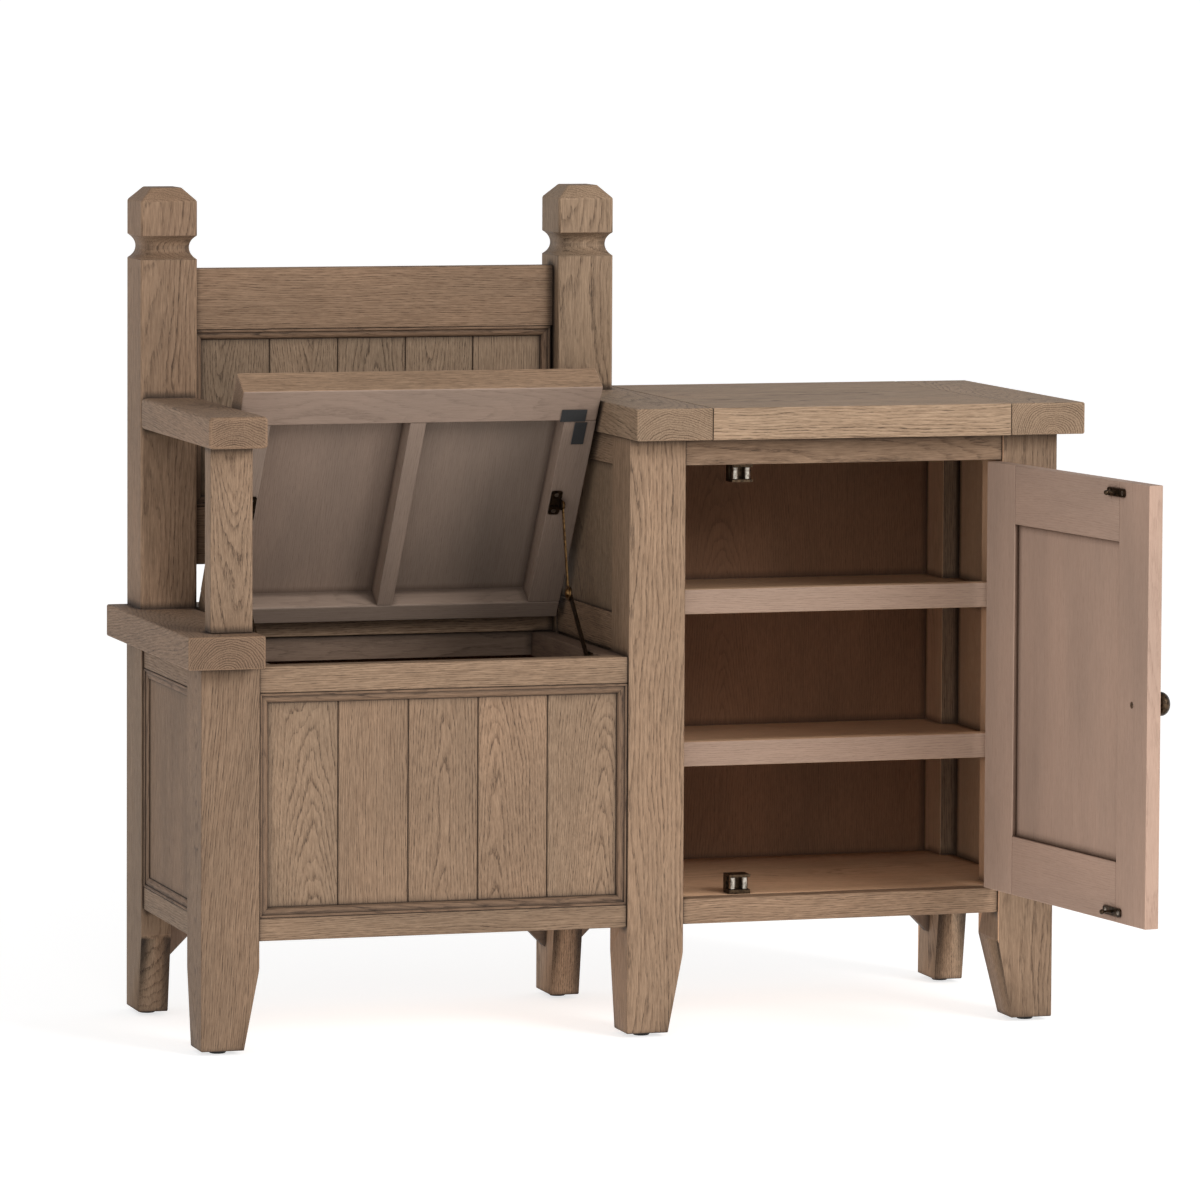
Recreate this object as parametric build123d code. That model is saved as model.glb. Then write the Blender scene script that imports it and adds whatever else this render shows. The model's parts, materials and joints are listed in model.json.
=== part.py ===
from build123d import *
import math
import os

# A storage bench with a backrest, joined to a one-door cupboard. Lengths are millimetres.
# x runs to the right, y to the back and z up from the floor. In the design frame x = 0 is the outer
# face of the left legs and y = 0 the front faces of the front legs. The finished part is moved so
# that its origin is under the middle of its own box.

# ---- the case
CASE_RIGHT = 1056.0
CASE_BACK = 379.0
GLIDE_HEIGHT = 5.0
GLIDE_RADIUS = 10.0
FRONT_LEG = 70.0
BACK_LEG = (36.5, 78.0)
DIVIDE = 519.0
MIDDLE_LEG_RIGHT = 588.5
RIGHT_LEG_LEFT = 986.5
FOOT_TOP = 101.0
FRONT_FOOT_TAPER = (18.6, 20.0)
BACK_FOOT_TAPER = 16.0
SEAT_UNDER = 456.0
SEAT_TOP = 494.5
CUPBOARD_UNDER = 712.5
CUPBOARD_TOP = 750.5
POST_TOP = 1000.0
TOP_FRONT = -39.5
BACK_LEG_FRONT = CASE_BACK - BACK_LEG[1]
FOOT_CUT_REACH = 1200.0
FOOT_CUT_MARGIN = 10.0

# ---- joinery
EASE = 1.0
SOFT_EDGE = 2.5
TENON = 16.0
SHOULDER = 7.0
GROOVE = 6.0
TONGUE = 4.0
TONGUE_SLACK = 0.3
SEAM_EASE = 1.6
SEAM_GAP = 0.2
MITRE_GAP = 0.1
BOARD_SEAMS = 4
SEAM_PITCH = 85.1

# ---- rails
RAIL_IN = (3.0, 25.0)
BENCH_OPENING = (159.3, 423.0)
BENCH_BOTTOM_RAIL_UNDER = 132.3
SIDE_RAIL_UNDER = 424.0
SEAT_REAR_RAIL_UNDER = 425.0
BOTTOM_RAIL = (132.0, 159.5)
REAR_RAIL_Y = (338.0, 360.0)
SEAT_REAR_RAIL_Y = (322.0, 344.0)
LID_REST_TOP = 454.5
BACK_PANEL_Y = (360.0, 366.0)
FLOOR_THICKNESS = 12.0
CUPBOARD_FLOOR_TOP = 164.0
BENCH_FLOOR_TOP = 152.0
FLOOR_HOUSING = 5.0
CORNER_BLOCK = 70.0
CORNER_BLOCK_Y = (339.0, 359.0)

# ---- mouldings: width, bead, hollow and the lip against the panel
MOULDING = 12.0
MOULDING_CROWN = 0.6
MOULDING_STEP = 1.8
MOULDING_BEAD = 3.4
MOULDING_HOLLOW = 4.8
MOULDING_LIP = 1.0

# ---- seat, arm and backrest
SEAT_LEFT_X = (-25.0, 67.0)
ARM_FRONT = -38.0
ARM_Z = (711.5, 748.5)
ARM_ROUNDING = 5.0
ARM_POST_X = (10.5, 61.0)
ARM_POST_DEPTH = 27.5
BENCH_BOARD_Y = (10.0, 18.0)
SIDE_PANEL_X = (8.0, 15.0)
BACKREST_Y = (327.0, 349.0)
BACKREST_BOARD_Y = (335.0, 343.0)
BACKREST_BOTTOM = (545.0, 615.0)
BACKREST_TOP = (828.0, 902.0)
LEFT_POST_RIGHT = 69.5
POST_Y = (304.0, 379.0)
RIGHT_POST_X = (521.5, 591.0)
NECK = (914.0, 943.0)
NECK_DEPTH = 8.6
POST_CHAMFER = 16.0
POST_ROUNDING = 4.0
POST_CUT = 200.0

# ---- cupboard
DIVIDER_X = (521.0, 543.0)
RIGHT_SIDE_X = (1031.0, 1053.0)
LEFT_PANEL_X = (525.0, 535.0)
RIGHT_PANEL_X = (1042.0, 1050.0)
CUPBOARD_TOP_X = (515.5, 1076.5)
TOP_END_WIDTH = 94.0
TOP_TONGUE = 12.0
TOP_NOTCH_CLEARANCE = 2.0
CUPBOARD_RAIL_UNDER = 680.0
CUPBOARD_RAIL_Y = (2.0, 50.0)
CUPBOARD_BOTTOM_RAIL = (133.5, 163.5)
CUPBOARD_REAR_RAIL_UNDER = 677.0
DIVIDER_RAIL_TOP = 500.0
SHELF_BOTTOMS = {"lower_shelf": 318.5, "upper_shelf": 500.5}
SHELF_LIP = (20.0, 29.5)
SHELF_LIP_FRONT = 28.0
SHELF_THICKNESS = 9.5
SHELF_END_GAP = 1.0
SHELF_SIDE_GAP = 2.0
SHELF_LIP_ROUNDING = 1.5
BATTEN = 18.0
BATTEN_END_GAP = 5.0

# ---- hinges: the gap between the two edges, the pivot's distance in front of them and the leaves
HINGE_GAP = 2.4
HINGE_PROUD = 3.0
HINGE_LENGTH = 60.0
LEAF_WIDTH = 15.0
LEAF_THICKNESS = 1.1
LEAF_SPACE = 0.1
LEAF_CLEAR = 0.4
WEB_START = 2.0
PIN_CAP = (2.4, 1.4)
LEAF_SCREW = (9.5, 8.0)
KNUCKLE_RADIUS = 2.9
KNUCKLES = 5
KNUCKLE_SPACE = 0.3
PIN_RADIUS = 1.25
PIN_CLEARANCE = 0.04

# ---- screws: length, head radius, head depth and shank radius
SCREW_LENGTH = 13.0
SCREW_HEAD = 2.8
SCREW_HEAD_DEPTH = 1.1
SCREW_SHANK = 1.5

# ---- lid, in its closed place
LID_X = (71.5, 512.5)
LID_FRONT = -38.0
SEAT_REAR_BOARD_FRONT = 313.6
LID_BACK = SEAT_REAR_BOARD_FRONT - HINGE_GAP
LID_FRONT_RAIL = 50.0
LID_REAR_RAIL = 24.0
LID_STILE = 40.0
LID_MUNTIN = 20.0
LID_PANEL = 9.0
LID_OPEN = 57.0
LID_PIVOT = (LID_BACK + HINGE_GAP / 2, SEAT_TOP + HINGE_PROUD)
LID_HINGES_X = (137.0, 447.0)
LID_ROUNDING = 2.0
FELT_THICKNESS = 1.2
LONG_FELT_X = (467.0, 498.0)
LONG_FELT_Y = (-4.6, 12.4)
TALL_FELT_X = (486.0, 501.0)
TALL_FELT_Y = (14.4, 46.4)

# ---- door, in its closed place
DOOR_WIDTH = 393.0
DOOR_Y = (0.0, 18.0)
DOOR_Z = (166.0, 679.0)
DOOR_STILE = 70.0
DOOR_PANEL_Y = (5.0, 12.0)
DOOR_OPEN = 98.0
DOOR_PIVOT = (RIGHT_LEG_LEFT - HINGE_GAP / 2, -HINGE_PROUD)
DOOR_RIGHT = RIGHT_LEG_LEFT - HINGE_GAP
DOOR_LEFT = DOOR_RIGHT - DOOR_WIDTH
DOOR_HINGES_Z = (245.0, 600.0)
KNOB = (DOOR_PIVOT[0] - 358.0, 422.5)
KNOB_ROSE = (9.5, 2.0)
KNOB_NECK = (5.6, 8.0)
KNOB_THROAT = (6.0, 13.0)
KNOB_WIDEST = (14.0, 21.5)
KNOB_TIP = (4.0, 29.0)
KNOB_SCREW = (30.0, 4.0)

# ---- roller catches
CATCH_X = DOOR_PIVOT[0] - 318.0
CATCH_Y = (26.0, 50.0)
CATCH_HEIGHT = 23.0
CATCH_HALF_WIDTH = 13.0
CATCH_PLATES = (5.0, 3.0)
ROLLER_RADIUS = 4.0
ROLLER_OFFSET = 7.6
ROLLER_TRAVEL = 2.0
ROLLER_Y = 32.0
ROLLER_PIN = 1.0
ROLLER_PIN_REACH = 1.0
ROLLER_EASE = 0.5
PIN_PLAY = 0.1
SLOT_DEPTH = 2.0
STRIKE_DEPTH = 14.0
STRIKE_RADIUS = 3.1
STRIKE_PLATE = (42.0, 1.5, 9.5)
STRIKE_STEM_RADIUS = 1.6
STRIKE_ROUNDING = 3.0
STRIKE_LEVEL = 14.0
STRIKE_SCREW_OFFSET = 15.0
CATCH_BACK = 10.0
CATCH_SCREW_OFFSET = (4.0, 12.5)
CATCH_SCREW = (15.0, 2.2)

# ---- lid stays: pivots as (y, z)
STAY_FOOT = (79.0, 447.0)
STAY_ELBOW = (150.7, 517.0)
STAY_ON_LID = (LID_PIVOT[0] - 178.0, SEAT_TOP - 45.0)
LID_REST_INNER = (90.0, 494.0)
STAY_PLATE = 1.5
STAY_SPACE = 0.3
LOWER_ARM_THICKNESS = 2.0
UPPER_ARM_THICKNESS = 1.6
STUD_RADIUS = 2.5
STUD_HEAD = (4.2, 1.0)
STUD_CLEARANCE = 0.05
STAY_FOOT_PLATE = (34.0, 14.0)
STAY_FOOT_ROUNDING = 4.0
STAY_FOOT_SCREWS = 11.0
STAY_EAR_PLATE = (12.0, 35.0)
STAY_EAR_ROUNDING = 3.0
STAY_EAR_SCREWS = (5.5, 12.0)
STAY_EAR_RADIUS = 6.0
LOWER_ARM = (9.0, 6.5, 7.5)
UPPER_ARM = (5.0, 5.5, 9.0)
ELBOW_DOME = (6.0, 3.0)
ELBOW_DOME_LIMIT = 7.0

# Which piece gives way where two meet: a later one is let into an earlier one.
LEG, RAIL, INNER_RAIL, FLOOR, PANEL, METAL, SCREW = range(7)


# ---------------------------------------------------------------- small makers

def box(x, y, z):
    """A sharp-edged box between (low, high) limits on each axis."""
    centre = Pos(sum(x) / 2, sum(y) / 2, sum(z) / 2)
    return centre * Box(x[1] - x[0], y[1] - y[0], z[1] - z[0])


def board(x, y, z, ease=EASE):
    """A board between (low, high) limits with its edges eased by a small chamfer."""
    body = box(x, y, z)
    return chamfer(body.edges(), ease)


def soft_board(x, y, z, radius=SOFT_EDGE):
    """A board whose edges are rounded over."""
    body = box(x, y, z)
    return fillet(body.edges(), radius)


def rail(x, y, z, along, tenons=(1, 1)):
    """A rail with a tenon at each end that tenons asks for."""
    limits = {"x": x, "y": y, "z": z}
    across = [axis for axis in limits if axis != along]
    thin, wide = sorted(across, key=lambda axis: limits[axis][1] - limits[axis][0])
    quarter = (limits[thin][1] - limits[thin][0]) / 4
    core = dict(limits)
    core[thin] = (limits[thin][0] + quarter, limits[thin][1] - quarter)
    core[wide] = (limits[wide][0] + SHOULDER, limits[wide][1] - SHOULDER)
    core[along] = (limits[along][0] - TENON * tenons[0], limits[along][1] + TENON * tenons[1])
    return board(x, y, z) + box(core["x"], core["y"], core["z"])


def grown(limits, by):
    """The same limits moved outwards on both sides."""
    return (limits[0] - by, limits[1] + by)


def meets(one, other):
    """Whether the boxes round two solids overlap."""
    a = one.bounding_box()
    b = other.bounding_box()
    lows = zip(tuple(a.min), tuple(b.max))
    highs = zip(tuple(b.min), tuple(a.max))
    return all(low < high for low, high in lows) and all(low < high for low, high in highs)


def let_in(pieces):
    """Cuts each piece for the later ones that enter it, and groups the solids by node."""
    nodes = {}
    for node, layer, solid in pieces:
        for _, other_layer, other in pieces:
            if other_layer > layer and meets(solid, other):
                solid = solid - other
        nodes.setdefault(node, []).extend(solid.solids())
    return nodes


def moulding_side(length, depth):
    """One mitred side: its length along x, its width along y and its depth along z."""
    crown = depth + MOULDING_CROWN
    edge = depth - MOULDING_CROWN
    step = depth - MOULDING_STEP
    bead = MOULDING_BEAD
    hollow = MOULDING_HOLLOW
    lip = MOULDING_LIP
    turn = math.sqrt(0.5)
    profile = make_face([
        Line((0, 0), (0, edge)),
        ThreePointArc((0, edge), (bead / 2, crown), (bead, edge)),
        Line((bead, edge), (bead, step)),
        Line((bead, step), (hollow, step)),
        ThreePointArc(
            (hollow, step),
            (hollow + turn * (MOULDING - hollow), lip + turn * (step - lip)),
            (MOULDING, lip),
        ),
        Line((MOULDING, lip), (MOULDING, 0)),
        Line((MOULDING, 0), (0, 0)),
    ])
    strip = extrude(Plane.YZ * profile, length)
    corners = [
        (MITRE_GAP, 0),
        (length - MITRE_GAP, 0),
        (length - MOULDING - MITRE_GAP, MOULDING),
        (MOULDING + MITRE_GAP, MOULDING),
    ]
    mitre = extrude(make_face(Polyline(*corners, close=True)), 2 * depth)
    return strip & mitre


def mitred_frame(plane, width, height, depth):
    """Four mitred mouldings round an opening whose lower left corner is the plane's origin."""
    lower = Location((0, 0, 0), (0, 0, 0)) * moulding_side(width, depth)
    right = Location((width, 0, 0), (0, 0, 90)) * moulding_side(height, depth)
    upper = Location((width, height, 0), (0, 0, 180)) * moulding_side(width, depth)
    left = Location((0, height, 0), (0, 0, 270)) * moulding_side(height, depth)
    return [plane * side for side in (lower, right, upper, left)]


def tongued_boards(x, y, z):
    """Upright boards with bevelled seams, each with a tongue in the next one's groove."""
    middle = (x[0] + x[1]) / 2
    first = middle - SEAM_PITCH * (BOARD_SEAMS - 1) / 2
    edges = [x[0]] + [first + SEAM_PITCH * step for step in range(BOARD_SEAMS)] + [x[1]]
    third = (y[1] - y[0]) / 3
    groove_y = (y[0] + third, y[1] - third)
    groove_z = grown(z, -TONGUE)
    tongue_y = grown(groove_y, -TONGUE_SLACK)
    tongue_z = grown(groove_z, -TONGUE_SLACK)
    boards = []
    for index, (low, high) in enumerate(zip(edges, edges[1:])):
        body = board((low + SEAM_GAP / 2, high - SEAM_GAP / 2), y, z, SEAM_EASE)
        if index > 0:
            body = body - box((low - TONGUE, low + TONGUE), groove_y, groove_z)
        if index < BOARD_SEAMS:
            body = body + box((high - TONGUE, high + TONGUE - TONGUE_SLACK), tongue_y, tongue_z)
        boards.append(body)
    return boards


def screw(at, direction, length=SCREW_LENGTH, radius=SCREW_HEAD):
    """A countersunk screw whose head's face is at the point and whose shank runs along direction."""
    head = Pos(0, 0, SCREW_HEAD_DEPTH / 2) * Cone(radius, SCREW_SHANK, SCREW_HEAD_DEPTH)
    body = head + Pos(0, 0, length / 2) * Cylinder(SCREW_SHANK, length)
    return Plane(origin=at, z_dir=direction) * body


# ---------------------------------------------------------------- hinges

def hinge(length=HINGE_LENGTH):
    """A butt hinge about local z, its fixed leaf on +x, its moving leaf on -x, and its pin."""
    segment = length / KNUCKLES
    leaf_start = KNUCKLE_RADIUS + LEAF_CLEAR
    bore = Cylinder(PIN_RADIUS + PIN_CLEARANCE, 2 * length)
    leaves = []
    for side, first in ((1, 0), (-1, 1)):
        faces = sorted((side * LEAF_SPACE, side * (LEAF_SPACE + LEAF_THICKNESS)))
        leaf = box(faces, (leaf_start, LEAF_WIDTH), (-length / 2, length / 2))
        for index in range(first, KNUCKLES, 2):
            low = -length / 2 + segment * index
            span = (low + KNUCKLE_SPACE / 2, low + segment - KNUCKLE_SPACE / 2)
            barrel = Pos(0, 0, sum(span) / 2) * Cylinder(KNUCKLE_RADIUS, span[1] - span[0])
            leaf = leaf + barrel + box(faces, (WEB_START, leaf_start + LEAF_CLEAR), span)
        leaf = leaf - bore
        leaves.append(leaf)
    cap_radius, cap = PIN_CAP
    pin = Cylinder(PIN_RADIUS, length + 2 * KNUCKLE_SPACE)
    for end in (-1, 1):
        pin = pin + Pos(0, 0, end * (length / 2 + KNUCKLE_SPACE + cap / 2)) * Cylinder(cap_radius, cap)
    return leaves[0], leaves[1], pin


def hinge_screws(place, side):
    """The three screws of one leaf; side is 1 for the fixed leaf and -1 for the moving one."""
    back, inset = LEAF_SCREW
    spread = HINGE_LENGTH / 2 - inset
    face = side * LEAF_SPACE
    return [place * screw((face, back, z), (side, 0, 0)) for z in (-spread, 0, spread)]


def hinge_places():
    """Where the hinges go, as planes: two on the lid's axis, two on the door's."""
    lid = [Plane(origin=(x, *LID_PIVOT), x_dir=(0, 1, 0), z_dir=(-1, 0, 0)) for x in LID_HINGES_X]
    door = [Plane(origin=(*DOOR_PIVOT, z), x_dir=(1, 0, 0), z_dir=(0, 0, 1)) for z in DOOR_HINGES_Z]
    return lid, door


def fitted_hinges(places, moving_node, moving_screws_node):
    """Fixed and moving pieces of the hinges at some places."""
    fixed = []
    moving = []
    for place in places:
        fixed_leaf, moving_leaf, pin = hinge()
        fixed.append(("fixed_hinge_leaves", METAL, place * fixed_leaf))
        fixed.append(("hinge_pins", SCREW, place * pin))
        fixed += [("carcass_screws", SCREW, one) for one in hinge_screws(place, 1)]
        moving.append((moving_node, METAL, place * moving_leaf))
        moving += [(moving_screws_node, SCREW, one) for one in hinge_screws(place, -1)]
    return fixed, moving


# ---------------------------------------------------------------- carcass

def foot_wedge(plane, edge, inward):
    """What a tapered foot loses on one side; inward is signed along the plane's x."""
    outside = edge - math.copysign(FOOT_CUT_MARGIN, inward)
    corners = [
        (edge, FOOT_TOP),
        (edge + inward, GLIDE_HEIGHT),
        (edge + inward, 0),
        (outside, 0),
        (outside, FOOT_TOP),
    ]
    return extrude(plane * make_face(Polyline(*corners, close=True)), FOOT_CUT_REACH, both=True)


def leg_sizes():
    """Each leg: x limits, y limits, its top, the tapers of its foot on (left, right, front, back)."""
    side, back = FRONT_FOOT_TAPER
    front_y = (0.0, FRONT_LEG)
    back_y = (BACK_LEG_FRONT, CASE_BACK)
    left_x = (0.0, BACK_LEG[0])
    middle_x = (DIVIDE, DIVIDE + BACK_LEG[0])
    right_x = (CASE_RIGHT - BACK_LEG[0], CASE_RIGHT)
    right_handed = (0, side, 0, back)
    left_handed = (side, 0, 0, back)
    from_front = (0, 0, BACK_FOOT_TAPER, 0)
    return {
        "front_left_leg": ((0.0, FRONT_LEG), front_y, SEAT_UNDER, right_handed),
        "front_middle_leg": ((DIVIDE, MIDDLE_LEG_RIGHT), front_y, CUPBOARD_UNDER, right_handed),
        "front_right_leg": ((RIGHT_LEG_LEFT, CASE_RIGHT), front_y, CUPBOARD_UNDER, left_handed),
        "back_left_leg": (left_x, back_y, SEAT_UNDER, from_front),
        "back_middle_leg": (middle_x, back_y, CUPBOARD_UNDER, from_front),
        "back_right_leg": (right_x, back_y, CUPBOARD_UNDER, from_front),
    }


def legs():
    pieces = []
    for node, (x, y, top, (left, right, front, back)) in leg_sizes().items():
        leg = board(x, y, (GLIDE_HEIGHT, top))
        if left:
            leg = leg - foot_wedge(Plane.XZ, x[0], left)
        if right:
            leg = leg - foot_wedge(Plane.XZ, x[1], -right)
        if front:
            leg = leg - foot_wedge(Plane.YZ, y[0], front)
        if back:
            leg = leg - foot_wedge(Plane.YZ, y[1], -back)
        pieces.append((node, LEG, leg))
        middle = ((x[0] + left + x[1] - right) / 2, (y[0] + front + y[1] - back) / 2)
        disc = Pos(*middle, GLIDE_HEIGHT / 2) * Cylinder(GLIDE_RADIUS, GLIDE_HEIGHT)
        disc = chamfer(disc.faces().sort_by(Axis.Z)[0].edges(), EASE)
        pieces.append(("foot_glides", METAL, disc))
    return pieces


def clear_of_legs(body):
    """The body notched round every leg that it meets."""
    for x, y, top, _ in leg_sizes().values():
        blank = box(x, y, (GLIDE_HEIGHT, top))
        if meets(body, blank):
            body = body - blank
    return body


def corner_block(x_corner, direction):
    """A triangular block in the corner under a rear rail; direction is +1 to the right of a leg."""
    top = BOTTOM_RAIL[0]
    corners = [(x_corner, top), (x_corner + direction * CORNER_BLOCK, top), (x_corner, top - CORNER_BLOCK)]
    face = make_face(Polyline(*corners, close=True))
    middle = sum(CORNER_BLOCK_Y) / 2
    half = (CORNER_BLOCK_Y[1] - CORNER_BLOCK_Y[0]) / 2
    return Pos(0, middle, 0) * extrude(Plane.XZ * face, half, both=True)


def bench_frame():
    between_legs = (FRONT_LEG, BACK_LEG_FRONT)
    front_x = (FRONT_LEG, DIVIDE)
    rear_x = (BACK_LEG[0], DIVIDE)
    bench_bottom = (BENCH_BOTTOM_RAIL_UNDER, BENCH_OPENING[0])
    side_top = (SIDE_RAIL_UNDER, SEAT_UNDER)
    seat_rear = (SEAT_REAR_RAIL_UNDER, SEAT_UNDER)
    pieces = [
        ("bench_front_rails", RAIL, rail(front_x, RAIL_IN, (BENCH_OPENING[1], LID_REST_TOP), "x")),
        ("bench_front_rails", RAIL, rail(front_x, RAIL_IN, bench_bottom, "x")),
        ("bench_side_rails", RAIL, rail(RAIL_IN, between_legs, side_top, "y")),
        ("bench_side_rails", RAIL, rail(RAIL_IN, between_legs, BOTTOM_RAIL, "y")),
        ("rear_rails", RAIL, rail(rear_x, SEAT_REAR_RAIL_Y, seat_rear, "x")),
        ("rear_rails", RAIL, rail(rear_x, REAR_RAIL_Y, BOTTOM_RAIL, "x")),
    ]
    rest_y = (RAIL_IN[1], SEAT_REAR_RAIL_Y[0])
    for x in ((FRONT_LEG, LID_REST_INNER[0]), (LID_REST_INNER[1], DIVIDE)):
        rest = rail(x, rest_y, (SIDE_RAIL_UNDER, LID_REST_TOP), "y")
        pieces.append(("lid_support_rails", INNER_RAIL, rest))
    boards_x = grown(front_x, GROOVE)
    boards_z = grown(BENCH_OPENING, GROOVE)
    for one in tongued_boards(boards_x, BENCH_BOARD_Y, boards_z):
        pieces.append(("bench_front_boards", PANEL, one))
    side_opening = (BOTTOM_RAIL[1], side_top[0])
    side_panel = board(SIDE_PANEL_X, grown(between_legs, GROOVE), grown(side_opening, GROOVE))
    pieces.append(("bench_side_panel", PANEL, side_panel))
    front_corner = (FRONT_LEG, BENCH_BOARD_Y[0], BENCH_OPENING[0])
    side_corner = (SIDE_PANEL_X[0], between_legs[1], side_opening[0])
    front_plane = Plane(origin=front_corner, x_dir=(1, 0, 0), z_dir=(0, -1, 0))
    side_plane = Plane(origin=side_corner, x_dir=(0, -1, 0), z_dir=(-1, 0, 0))
    front_size = (DIVIDE - FRONT_LEG, BENCH_OPENING[1] - BENCH_OPENING[0])
    side_size = (between_legs[1] - between_legs[0], side_opening[1] - side_opening[0])
    sides = mitred_frame(front_plane, *front_size, BENCH_BOARD_Y[0] - RAIL_IN[0])
    sides += mitred_frame(side_plane, *side_size, SIDE_PANEL_X[0] - RAIL_IN[0])
    pieces += [("bench_mouldings", METAL, side) for side in sides]
    back = box(grown(rear_x, GROOVE), BACK_PANEL_Y, (BOTTOM_RAIL[0], SEAT_UNDER))
    pieces.append(("back_panels", PANEL, back))
    floor_x = (RAIL_IN[1] - FLOOR_HOUSING, DIVIDER_X[0] + FLOOR_HOUSING)
    floor_y = (RAIL_IN[1] - FLOOR_HOUSING, REAR_RAIL_Y[0] + FLOOR_HOUSING)
    floor = box(floor_x, floor_y, (BENCH_FLOOR_TOP - FLOOR_THICKNESS, BENCH_FLOOR_TOP))
    pieces.append(("floor_boards", FLOOR, clear_of_legs(floor)))
    return pieces


def corner_blocks():
    rightwards = [corner_block(x, 1) for x in (BACK_LEG[0], DIVIDE + BACK_LEG[0])]
    leftwards = [corner_block(x, -1) for x in (DIVIDE, CASE_RIGHT - BACK_LEG[0])]
    return [("corner_blocks", RAIL, block) for block in rightwards + leftwards]


def seat():
    z = (SEAT_UNDER, SEAT_TOP)
    left = soft_board(SEAT_LEFT_X, (TOP_FRONT, CASE_BACK), z)
    rear = soft_board((SEAT_LEFT_X[1], DIVIDE), (SEAT_REAR_BOARD_FRONT, CASE_BACK), z, EASE)
    return [("seat_left_board", LEG, left), ("seat_rear_board", LEG, rear)]


def post(x, y, bottom):
    """A square post whose top is a chamfered head over a hollowed neck."""
    body = box(x, y, (bottom, POST_TOP))
    body = chamfer(body.faces().sort_by(Axis.Z)[-1].edges(), POST_CHAMFER)
    body = fillet(body.edges().filter_by(lambda edge: edge.center().Z > bottom + EASE), POST_ROUNDING)
    half_chord = (NECK[1] - NECK[0]) / 2
    radius = (half_chord ** 2 + NECK_DEPTH ** 2) / (2 * NECK_DEPTH)
    away = radius - NECK_DEPTH
    level = sum(NECK) / 2
    middle = (sum(x) / 2, sum(y) / 2)
    cutter = Cylinder(radius, POST_CUT)
    for face_x in (x[0] - away, x[1] + away):
        body = body - Pos(face_x, middle[1], level) * Rot(90, 0, 0) * cutter
    for face_y in (y[0] - away, y[1] + away):
        body = body - Pos(middle[0], face_y, level) * Rot(0, 90, 0) * cutter
    return body


def backrest():
    post_x = (0.0, LEFT_POST_RIGHT)
    bottom_x = (LEFT_POST_RIGHT, DIVIDE)
    top_x = (LEFT_POST_RIGHT, RIGHT_POST_X[0])
    arm = soft_board((0.0, FRONT_LEG), (ARM_FRONT, POST_Y[0]), ARM_Z, ARM_ROUNDING)
    arm_post = board(ARM_POST_X, (0.0, ARM_POST_DEPTH), (SEAT_TOP, ARM_Z[0]))
    pieces = [
        ("left_back_post", LEG, post(post_x, POST_Y, SEAT_TOP)),
        ("right_back_post", LEG, post(RIGHT_POST_X, POST_Y, CUPBOARD_TOP)),
        ("backrest_rails", RAIL, rail(bottom_x, BACKREST_Y, BACKREST_BOTTOM, "x")),
        ("backrest_rails", RAIL, rail(top_x, BACKREST_Y, BACKREST_TOP, "x")),
        ("armrest", RAIL, arm),
        ("arm_post", RAIL, arm_post),
    ]
    boards_z = grown((BACKREST_BOTTOM[1], BACKREST_TOP[0]), GROOVE)
    for one in tongued_boards(grown(bottom_x, GROOVE), BACKREST_BOARD_Y, boards_z):
        pieces.append(("backrest_boards", PANEL, one))
    opening = (DIVIDE - LEFT_POST_RIGHT, BACKREST_TOP[0] - BACKREST_BOTTOM[1])
    origin = (LEFT_POST_RIGHT, BACKREST_BOARD_Y[0], BACKREST_BOTTOM[1])
    plane = Plane(origin=origin, x_dir=(1, 0, 0), z_dir=(0, -1, 0))
    depth = BACKREST_BOARD_Y[0] - BACKREST_Y[0]
    pieces += [("backrest_moulding", METAL, side) for side in mitred_frame(plane, *opening, depth)]
    return pieces


def cupboard_top():
    joints = (CUPBOARD_TOP_X[0] + TOP_END_WIDTH, CUPBOARD_TOP_X[1] - TOP_END_WIDTH)
    y = (TOP_FRONT, CASE_BACK)
    z = (CUPBOARD_UNDER, CUPBOARD_TOP)
    centre = soft_board(joints, y, z, EASE)
    centre = centre + box(grown(joints, TOP_TONGUE), grown(y, -TOP_TONGUE), grown(z, -TOP_TONGUE))
    left = soft_board((CUPBOARD_TOP_X[0], joints[0]), y, z)
    notch_y = (BACKREST_Y[0] - TOP_NOTCH_CLEARANCE, CASE_BACK + 1)
    left = left - box((CUPBOARD_TOP_X[0] - 1, RIGHT_POST_X[0]), notch_y, grown(z, 1))
    right = soft_board((joints[1], CUPBOARD_TOP_X[1]), y, z)
    return [
        ("cupboard_top_centre", RAIL, centre),
        ("cupboard_top_ends", LEG, left),
        ("cupboard_top_ends", LEG, right),
    ]


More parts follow.
